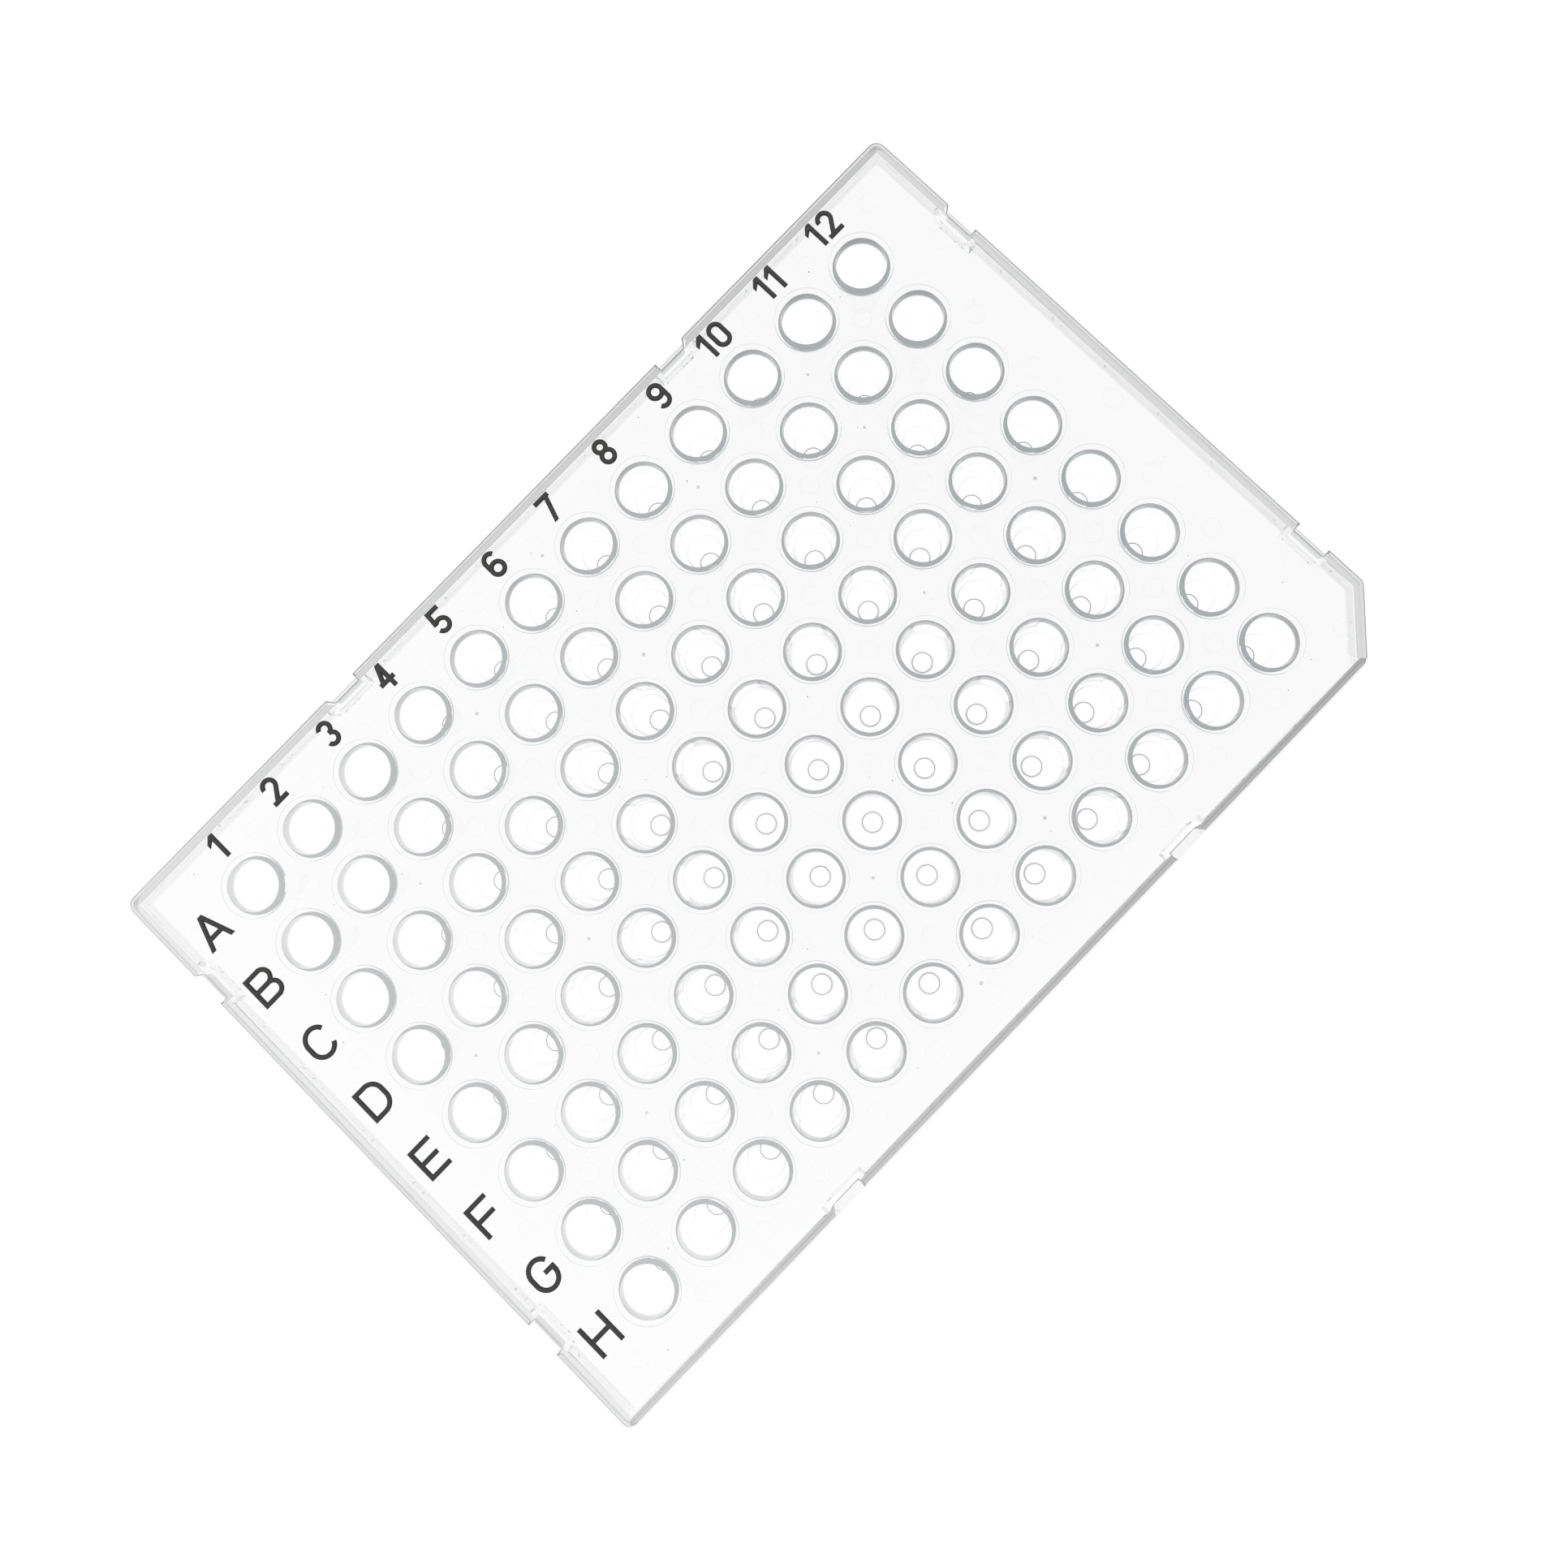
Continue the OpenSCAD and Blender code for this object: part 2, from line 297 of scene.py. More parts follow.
@dataclass
class Draft:
    """Vertices and faces collected before they become a mesh, in millimetres."""

    verts: list[tuple[float, float, float]] = field(default_factory=list)
    faces: list[tuple[int, ...]] = field(default_factory=list)
    regions: list[Region] = field(default_factory=list)

    def ring(self, points: Iterable[Sequence[float]]) -> list[int]:
        """Adds points.

        Args:
            points: the points in order.

        Returns:
            Their indices.
        """
        start = len(self.verts)
        self.verts.extend(tuple(float(c) for c in p) for p in points)
        return list(range(start, len(self.verts)))

    def bridge(self, a: list[int], b: list[int], region: Region) -> None:
        """Joins two closed rings of the same count with quads.

        Args:
            a: indices of the first ring.
            b: indices of the second ring.
            region: where the quads lie.
        """
        n = len(a)
        for i in range(n):
            j = (i + 1) % n
            self.faces.append((a[i], a[j], b[j], b[i]))
            self.regions.append(region)

    def fan(self, ring: list[int], centre: Sequence[float], region: Region) -> None:
        """Closes a ring with triangles to a centre point.

        Args:
            ring: indices of the ring.
            centre: the point in its middle.
            region: where the triangles lie.
        """
        hub = self.ring([centre])[0]
        n = len(ring)
        for i in range(n):
            self.faces.append((ring[i], ring[(i + 1) % n], hub))
            self.regions.append(region)

    def mesh(self, name: str) -> bpy.types.Mesh:
        """Makes the mesh in metres, with its tones as face attributes.

        Args:
            name: the mesh's name.

        Returns:
            The mesh.
        """
        mesh = bpy.data.meshes.new(name)
        mesh.from_pydata([tuple(c * MM for c in v) for v in self.verts], [], self.faces)
        for layer in TONE_LAYERS:
            shares = mesh.attributes.new(layer, "FLOAT", "FACE")
            shares.data.foreach_set("value", [getattr(r.value, layer) for r in self.regions])
        return mesh


def weld(bm: bmesh.types.BMesh) -> None:
    """Merges coincident vertices of a working mesh and drops the faces that this empties."""
    bmesh.ops.remove_doubles(bm, verts=bm.verts, dist=MERGE_MM * MM)
    bmesh.ops.dissolve_degenerate(bm, edges=bm.edges, dist=MERGE_MM * MM)


def new_object(name: str, data: bpy.types.ID) -> bpy.types.Object:
    """Adds an object at the origin to the scene.

    Args:
        name: the object's name.
        data: its mesh or camera.

    Returns:
        The object.
    """
    obj = bpy.data.objects.new(name, data)
    bpy.context.scene.collection.objects.link(obj)
    return obj


def paint(faces: list[bmesh.types.BMFace], layers: dict, region: Region) -> None:
    """Gives faces the tone of a region.

    Args:
        faces: the faces.
        layers: the tone layers of their mesh by name.
        region: the region.
    """
    for face in faces:
        for name, layer in layers.items():
            face[layer] = getattr(region.value, name)


def mark_creases(bm: bmesh.types.BMesh, level_degrees: float, upright_degrees: float) -> None:
    """Marks the sharp edges of a moulded form, so that its flats and cones shade truly.

    Args:
        bm: the mesh.
        level_degrees: level edges with a larger angle are sharp.
        upright_degrees: all other edges with a larger angle are sharp.
    """
    level, upright = math.radians(level_degrees), math.radians(upright_degrees)
    for edge in bm.edges:
        low, high = sorted(v.co.z for v in edge.verts)
        limit = level if high - low < MERGE_MM * MM else upright
        edge.smooth = edge.calc_face_angle(math.pi) < limit
    for face in bm.faces:
        face.smooth = True


def finished(
    name: str, bm: bmesh.types.BMesh, creases: tuple[float, float] | None = None
) -> bpy.types.Object:
    """Turns a working mesh into an object, with its faces outward.

    Args:
        name: name of the object and its mesh.
        bm: the working mesh, which is freed.
        creases: the angles for mark_creases; without them the faces stay flat.

    Returns:
        The object.
    """
    bmesh.ops.recalc_face_normals(bm, faces=bm.faces)
    if creases:
        mark_creases(bm, *creases)
    mesh = bpy.data.meshes.new(name)
    bm.to_mesh(mesh)
    bm.free()
    return new_object(name, mesh)


def add_node(
    tree: bpy.types.NodeTree, kind: str, inputs: dict | None = None, **settings: object
) -> bpy.types.Node:
    """Adds a node with its settings and links.

    Args:
        tree: the tree that gets the node.
        kind: the node's type name.
        inputs: a value or an output socket for each input, by its name or index.
        settings: attributes of the node.

    Returns:
        The node.
    """
    node = tree.nodes.new(kind)
    for key, value in settings.items():
        setattr(node, key, value)
    for key, value in (inputs or {}).items():
        if isinstance(value, bpy.types.NodeSocket):
            tree.links.new(value, node.inputs[key])
        else:
            node.inputs[key].default_value = value
    return node


def repeat(
    name: str,
    start: bpy.types.Mesh,
    inputs: dict[str, tuple[str, object]],
    instances: Callable[..., bpy.types.NodeSocket],
) -> bpy.types.Mesh:
    """Repeats an object by a node group and applies the group.

    Args:
        name: the group's name.
        start: the mesh that the group starts from.
        inputs: type and value of each named input. "Cell" is the object to repeat, which is
            removed afterwards, and "Finish" is its material.
        instances: adds the nodes that place the copies and returns their output. It gets the
            function that adds nodes, the group's inputs and the cell's geometry.

    Returns:
        The mesh of all the copies.
    """
    group = bpy.data.node_groups.new(name, "GeometryNodeTree")
    for side in ("INPUT", "OUTPUT"):
        group.interface.new_socket("Geometry", in_out=side, socket_type="NodeSocketGeometry")
    sockets = {
        key: group.interface.new_socket(key, in_out="INPUT", socket_type=kind).identifier
        for key, (kind, _) in inputs.items()
    }
    add = partial(add_node, group)
    given = add("NodeGroupInput").outputs
    cell = add("GeometryNodeObjectInfo", {"Object": given["Cell"]}).outputs["Geometry"]
    copies = {"Geometry": instances(add, given, cell)}
    real = {"Geometry": add("GeometryNodeRealizeInstances", copies).outputs["Geometry"]}
    dressed = add("GeometryNodeSetMaterial", {**real, "Material": given["Finish"]})
    add("NodeGroupOutput", {"Geometry": dressed.outputs["Geometry"]})

    host = new_object(name, start)
    modifier = host.modifiers.new(name, "NODES")
    modifier.node_group = group
    for key, (_, value) in inputs.items():
        modifier[sockets[key]] = value
    graph = bpy.context.evaluated_depsgraph_get()
    mesh = bpy.data.meshes.new_from_object(host.evaluated_get(graph), depsgraph=graph)
    bpy.data.objects.remove(host)
    bpy.data.objects.remove(inputs["Cell"][1])
    return mesh


# ---- the outline and its notches --------------------------------------------


@dataclass
class PathPoint:
    """A point of the deck's outline: its place, its side's outward normal and how far
    (0 to 1) it has moved into a recess. On a round, also the corner's mitre direction and the
    radius."""

    xy: np.ndarray
    normal: np.ndarray
    recess: float = 0.0
    mitre: np.ndarray | None = None
    radius: float = 0.0


@dataclass
class Outline:
    """The deck's outline, anticlockwise, with a recess at each notch. half_width is half the
    recess's width along the side, slant is how much a slanted end narrows it at its back, ease
    is how far its corners are eased, and sharpest keeps the mitre of a sharp corner short."""

    size: PlateSizes
    half_width: float
    slant: float
    ease: float = 0.09
    arc_steps: int = 10
    sharpest: float = 0.35
    points: list[PathPoint] = field(default_factory=list)

    def __post_init__(self) -> None:
        """Traces the outline."""
        self._trace()

    def _corners(self) -> list[tuple[float, float, float]]:
        """Places the corners of the deck's edge.

        Returns:
            Each corner's x, y and radius, anticlockwise from the cut corner.
        """
        s = self.size
        x, y = s.deck_l / 2, s.deck_w / 2
        return [
            (x - s.cut_leg, -y, s.cut_r),
            (x, -y + s.cut_leg, s.cut_r),
            (x, y, s.corner_r),
            (-x, y, s.corner_r),
            (-x, -y, s.corner_r),
        ]

    def _trace(self) -> None:
        """Adds the points of each corner's round and of the side after it."""
        corners = self._corners()
        count = len(corners)
        place = [np.array(c[:2]) for c in corners]
        for i in range(count):
            here, nxt, prev = place[i], place[(i + 1) % count], place[i - 1]
            d_in = unit(here - prev)
            d_out = unit(nxt - here)
            n_in = np.array([d_in[1], -d_in[0]])
            n_out = np.array([d_out[1], -d_out[0]])
            turn = math.acos(float(np.clip(d_in @ d_out, -1, 1)))
            radius = corners[i][2]
            trim = radius * math.tan(turn / 2)
            centre = here - d_in * trim - n_in * radius
            mitre = (n_in + n_out) / (1 + math.cos(turn))
            start = math.atan2(n_in[1], n_in[0])
            for k in range(self.arc_steps + 1):
                a = start + turn * k / self.arc_steps
                n = np.array([math.cos(a), math.sin(a)])
                self.points.append(PathPoint(centre + n * radius, n, 0.0, mitre, radius))
            self._side(here, d_out, n_out, float(np.linalg.norm(nxt - here)))

    def _side(self, start: np.ndarray, d: np.ndarray, n: np.ndarray, length: float) -> None:
        """Adds the notches of one side, if it is long enough to have them.

        Args:
            start: the corner that the side starts from.
            d: its direction.
            n: its outward normal.
            length: its length.
        """
        s = self.size
        if length < s.cut_leg * 2:
            return
        long_side = abs(d[0]) > 0.5
        ats = []
        for sign in (-1, 1):
            centre = np.array([sign * s.notch_at, 0.0] if long_side else [0.0, sign * s.notch_at])
            along = float((centre - start) @ d)
            # towards which end of the run the slanted end looks, if it has one
            slanted = 1 if (sign * (d[0] if long_side else d[1])) > 0 else -1
            has_slant = long_side or sign > 0
            ats.append((along, slanted if has_slant else 0))
        for along, slanted in sorted(ats):
            for offset, recess in self._recess(slanted):
                base = start + d * (along + offset)
                self.points.append(PathPoint(base, n, recess))

    def _recess(self, slanted: int) -> list[tuple[float, float]]:
        """Lays out one notch.

        Args:
            slanted: 1 or -1 for the end that is slanted, 0 for none.

        Returns:
            Offsets along the side, each with the share of the recess's depth there.
        """
        half, ease = self.half_width, self.ease
        share = ease / self.size.notch_d

        def end(slant: float) -> list[tuple[float, float]]:
            """Goes from the back of the recess out to the face, at the positive end.

            Args:
                slant: how much this end narrows the recess at its back.

            Returns:
                Offsets and shares.
            """
            reach = slant * share
            return [
                (half - slant - ease, 1.0),
                (half - slant + reach * 0.3, 1.0 - share * 0.4),
                (half - slant + reach, 1.0 - share),
                (half - reach, share),
                (half, share * 0.3),
                (half + ease * 0.5, 0.0),
            ]

        high = end(self.slant if slanted > 0 else 0.0)
        low = [(-o, r) for o, r in reversed(end(self.slant if slanted < 0 else 0.0))]
        return low + high

    def ring(self, offset: float, depth: float, z: float, flat: bool = False) -> np.ndarray:
        """Points of the outline at one height.

        Args:
            offset: distance outward from the deck's edge, outside the recesses.
            depth: distance outward at the back of a recess, so below zero.
            z: height of the points.
            flat: leaves the recesses out, but keeps their points.

        Returns:
            An array of 3D points.
        """
        rows = []
        for p in self.points:
            share = 0.0 if flat else p.recess
            move = offset * (1 - share) + depth * share
            xy = p.xy + p.normal * max(move, -p.radius) if p.radius else p.xy + p.normal * move
            if p.radius and move < -p.radius:
                xy = xy + p.mitre * (move + p.radius)
            rows.append((xy[0], xy[1], z))
        return np.array(rows)

    def inset(self, ring: np.ndarray, d: float, z: float) -> np.ndarray:
        """Moves a ring inward, with mitred corners.

        Args:
            ring: points of a ring.
            d: how far it moves.
            z: height of the moved ring.

        Returns:
            An array of 3D points.
        """
        xy = ring[:, :2]
        edge = np.roll(xy, -1, 0) - xy
        length = np.linalg.norm(edge, axis=1, keepdims=True)
        keep = length[:, 0] > 1e-6
        normal = np.c_[edge[:, 1], -edge[:, 0]] / np.maximum(length, 1e-9)
        for i in np.where(~keep)[0]:
            normal[i] = normal[i - 1]
        before = np.roll(normal, 1, 0)
        spread = np.maximum(1 + (normal * before).sum(1, keepdims=True), self.sharpest)
        mitre = (normal + before) / spread
        return np.c_[xy - mitre * d, np.full(len(xy), z)]


# ---- the moulding -----------------------------------------------------------


@dataclass(frozen=True)
class Moulding:
    """The plate itself, as one closed mesh. creases are the angles at which its level edges
    and all others turn sharp, and the last two give the deck's caught light at two places along
    X, painted lighter towards column 1."""

    plate: PlateSizes = PlateSizes()
    well: WellSizes = WellSizes()
    creases: tuple[float, float] = (4.0, 12.0)
    side_reach: float = 2.5
    recess_back: tuple[float, float] = (1.0, 3.0)
    # painted light: the deck's caught light at these two places along X, lighter towards column 1
    painted_deck_light_x: tuple[float, float] = (-40.0, -8.0)
    painted_deck_light: tuple[float, float] = (0.85, 0.35)

    def _cell(self) -> bpy.types.Object:
        """Makes one well with its square of deck, upper and lower skin.

        Returns:
            The cell's object, to be repeated.
        """
        w, p = self.well, self.plate
        n = w.steps_per_side
        half = w.pitch / 2
        t = np.linspace(-half, half, n + 1)[:-1]
        square = np.concatenate(
            [
                np.c_[np.full(n, half), t],
                np.c_[-t, np.full(n, half)],
                np.c_[np.full(n, -half), -t],
                np.c_[t, np.full(n, -half)],
            ]
        )
        angle = -math.pi / 4 + np.arange(4 * n) * math.pi / 2 / n
        circle = np.c_[np.cos(angle), np.sin(angle)]
        draft = Draft()
        for profile, z, up in (
            (w.top_profile(p.deck_z, p.under_z), p.deck_z, True),
            (w.under_profile(p.under_z), p.under_z, False),
        ):
            last = draft.ring(np.c_[square, np.full(4 * n, z)])
            for r, height, region in profile:
                ring = draft.ring(np.c_[circle * r, np.full(4 * n, height)])
                draft.bridge(last, ring, region)
                last = ring
            draft.fan(last, (0, 0, w.floor_z if up else 0.0), Region.CONE)
        return new_object("well_cell", draft.mesh("well_cell"))

    def _field(self, finish: bpy.types.Material) -> bpy.types.Mesh:
        """Repeats the cell over the grid of wells.

        Args:
            finish: material of the moulding.

        Returns:
            The mesh of all the wells.
        """

        def instances(
            add: Adder,
            given: bpy.types.bpy_prop_collection,
            cell: bpy.types.NodeSocket,
        ) -> bpy.types.NodeSocket:
            """Places a cell on each point of a grid.

            Args:
                add: adds a node.
                given: the group's inputs.
                cell: the cell's geometry.

            Returns:
                The output with the instances.
            """
            size = []
            for count in ("Columns", "Rows"):
                less = add("ShaderNodeMath", {0: given[count], 1: 1.0}, operation="SUBTRACT")
                span = {0: less.outputs[0], 1: given["Pitch"]}
                size.append(add("ShaderNodeMath", span, operation="MULTIPLY").outputs[0])
            counts = {"Vertices X": given["Columns"], "Vertices Y": given["Rows"]}
            grid = add("GeometryNodeMeshGrid", {"Size X": size[0], "Size Y": size[1], **counts})
            places = {"Points": grid.outputs["Mesh"], "Instance": cell}
            return add("GeometryNodeInstanceOnPoints", places).outputs["Instances"]

        inputs = {
            "Cell": ("NodeSocketObject", self._cell()),
            "Columns": ("NodeSocketInt", self.well.columns),
            "Rows": ("NodeSocketInt", self.well.rows),
            "Pitch": ("NodeSocketFloat", self.well.pitch * MM),
            "Finish": ("NodeSocketMaterial", finish),
        }
        return repeat("well_field", bpy.data.meshes.new("well_field"), inputs, instances)

    def _skirt(self, draft: Draft) -> None:
        """Adds the skirt's outer and inner skin, from the deck down to the rim and up inside.

        Args:
            draft: the draft that gets them.
        """
        s = self.plate
        outer = Outline(s, s.notch_w / 2, s.notch_slant)
        inner = Outline(s, s.notch_w / 2 + s.notch_wall, 0.0)
        r = s.edge_r
        bevel = r * (1 - math.sqrt(0.5))
        top = outer.ring(0, -s.notch_d, s.deck_z)
        rim_out = s.lean(s.rim_z)
        # the wall's look through the deck is painted on the deck's top as a streaked grey band,
        # as painted shade, which ends at the notches
        band = Outline(s, s.notch_w / 2 + r + s.band_gap, s.notch_slant)
        upper = [
            (band.ring(-width, -s.notch_d - width * s.band_crowd - r, s.deck_z), region)
            for width, region in reversed(s.edge_band)
        ] + [
            (outer.inset(top, r, s.deck_z), Region.EDGE_OUTER),
            (outer.inset(top, bevel, s.deck_z - bevel), Region.DECK_EDGE),
            (outer.ring(s.lean(s.deck_z - r), -s.notch_d, s.deck_z - r), Region.DECK_EDGE),
            (outer.ring(s.lean(s.notch_z), -s.notch_d, s.notch_z), Region.SKIRT_OUT),
            (outer.ring(s.lean(s.notch_z), 0, s.notch_z, flat=True), Region.SKIRT_LINE),
            (outer.ring(s.lean(s.rim_z + r), 0, s.rim_z + r, flat=True), Region.SKIRT_OUT),
            (outer.ring(rim_out - bevel, 0, s.rim_z + bevel, flat=True), Region.SKIRT_LINE),
            (outer.ring(rim_out - r, 0, s.rim_z, flat=True), Region.SKIRT_LINE),
        ]
        back = -s.notch_d - s.notch_wall
        step_z = s.notch_z - s.notch_wall
        edge_z = s.rim_z + s.rim_edge
        fillet_z = s.under_z - s.fillet_r
        soft = s.fillet_r * (1 - math.sqrt(0.5))
        ceiling = inner.ring(s.inside(s.under_z), back, s.under_z)
        lower = [
            (inner.ring(s.inside(s.rim_z) + s.rim_edge, 0, s.rim_z, flat=True), None),
            (inner.ring(s.inside(edge_z), 0, edge_z, flat=True), Region.SKIRT_LINE),
            (inner.ring(s.inside(step_z), 0, step_z, flat=True), Region.SKIRT_IN),
            (inner.ring(s.inside(step_z), back, step_z), Region.BACKING),
            (inner.ring(s.inside(fillet_z), back, fillet_z), Region.SKIRT_IN),
            (inner.inset(ceiling, soft, s.under_z - soft), Region.SKIRT_IN),
            (inner.inset(ceiling, s.fillet_r, s.under_z), Region.SKIRT_IN),
        ]
        for loops in (upper, lower):
            last = None
            for loop, region in loops:
                ring = draft.ring(loop)
                if last is not None:
                    draft.bridge(last, ring, region)
                last = ring

    def _place_tones(self, bm: bmesh.types.BMesh, layers: dict) -> None:
        """Paints shade on row H's side as a darker band and on row A's side, gives the backs of
        the notches their clear tone and paints the deck's caught light lighter towards column 1.

        Args:
            bm: the moulding's working mesh.
            layers: its tone layers by name.
        """
        s = self.plate
        side_a = {
            Region.DECK_EDGE: Region.SHADED_EDGE,
            Region.EDGE_BAND: Region.SHADED_BAND,
            Region.EDGE_STREAK: Region.SHADED_STREAK,
            Region.EDGE_INNER: Region.SHADED_BAND,
        }
        side_h = {
            Region.DECK_EDGE: Region.EDGE_OUTER,
            Region.EDGE_OUTER: Region.CLOUDY_BAND,
            Region.EDGE_BAND: Region.CLOUDY_BAND,
            Region.EDGE_STREAK: Region.CLOUDY_STREAK,
            Region.EDGE_INNER: Region.DECK,
            Region.EDGE_SOFT: Region.DECK,
        }
        behind_notch = {Region.SKIRT_IN: Region.BACKING}
        nearest, furthest = self.recess_back
        for face in bm.faces:
            x, y, z = face.calc_center_median() / MM
            from_side = s.deck_w / 2 - abs(y)
            from_end = s.deck_l / 2 - abs(x)
            swaps = {}
            # painted shade: near row A's and row H's sides the deck's edge tones are swapped for
            # shaded ones
            if z > s.deck_z - s.edge_r and from_side < min(from_end, self.side_reach):
                swaps = side_a if y > 0 else side_h
            elif z < s.under_z + 1e-3 and nearest < min(from_side, from_end) < furthest:
                swaps = behind_notch
            passing = face[layers["passing"]]
            for found, wanted in swaps.items():
                if abs(passing - found.value.passing) < SAME_TONE:
                    paint([face], layers, wanted)
                    break
            # painted light: the deck's caught light is painted lighter towards column 1
            if abs(face[layers["passing"]] - Region.DECK.value.passing) < SAME_TONE:
                face[layers["caught"]] = np.interp(x, self.painted_deck_light_x, self.painted_deck_light)

    def build(self, finish: bpy.types.Material) -> bpy.types.Object:
        """Makes the moulding: the wells and the skirt, joined by the deck and the rim.

        Args:
            finish: its material.

        Returns:
            Its object.
        """
        s = self.plate
        draft = Draft()
        self._skirt(draft)
        bm = bmesh.new()
        bm.from_mesh(draft.mesh("skirt"))
        bm.from_mesh(self._field(finish))
        weld(bm)
        layers = {name: bm.faces.layers.float[name] for name in TONE_LAYERS}
        for z, region in (
            (s.deck_z, Region.DECK),
            (s.under_z, Region.DECK),
            (s.rim_z, Region.SKIRT_RIM),
        ):
            open_edges = [
                edge
                for edge in bm.edges
                if edge.is_boundary and all(abs(v.co.z - z * MM) < 1e-7 for v in edge.verts)
            ]
            filled = bmesh.ops.triangle_fill(bm, edges=open_edges, use_beauty=True)["geom"]
            paint([g for g in filled if isinstance(g, bmesh.types.BMFace)], layers, region)
        weld(bm)
        self._place_tones(bm, layers)
        return finished("plate_moulding", bm, self.creases)


# ---- marks and characters ---------------------------------------------------


@dataclass(frozen=True)
class MarkSizes:
    """What the mould left on the deck, and the dirt on it."""

    ejector_r: float = 1.15
    ejector_line: float = 0.09
    ejector_scales: tuple[float, float] = (0.97, 1.03)
    gate_r: float = 0.2
    gate_scales: tuple[float, float] = (0.8, 1.15)
    fleck_r: float = 0.06
    fleck_scales: tuple[float, float] = (0.35, 1.3)
    fleck_count: int = 60
    fleck_seed: int = 12
    scale_seed: int = 7
    fleck_reach: tuple[float, float] = (0.48, 0.47)
    rim_clearance: float = 0.3
    thickness: float = 0.02
    clearance: float = 0.002
    gates: tuple[tuple[int, int], ...] = (
        (4, 1), (8, 1), (10, 1), (2, 2), (6, 2), (10, 2), (1, 4), (3, 4),
        (9, 4), (11, 4), (2, 6), (6, 6), (10, 6), (4, 7), (8, 7),
    )
    side_gates: tuple[tuple[float, float], ...] = ((6, 0.18), (6, 7.83))
    end_ejectors: tuple[tuple[float, float], ...] = (
        (55.4, 36.0), (57.7, 27.0), (54.2, 18.0), (54.2, 9.0), (57.7, 0.0), (54.4, -9.0),
        (54.4, -18.0), (57.7, -27.0), (56.1, -36.1), (-54.6, 9.0), (-54.3, -17.5), (-55.2, -35.8),
    )


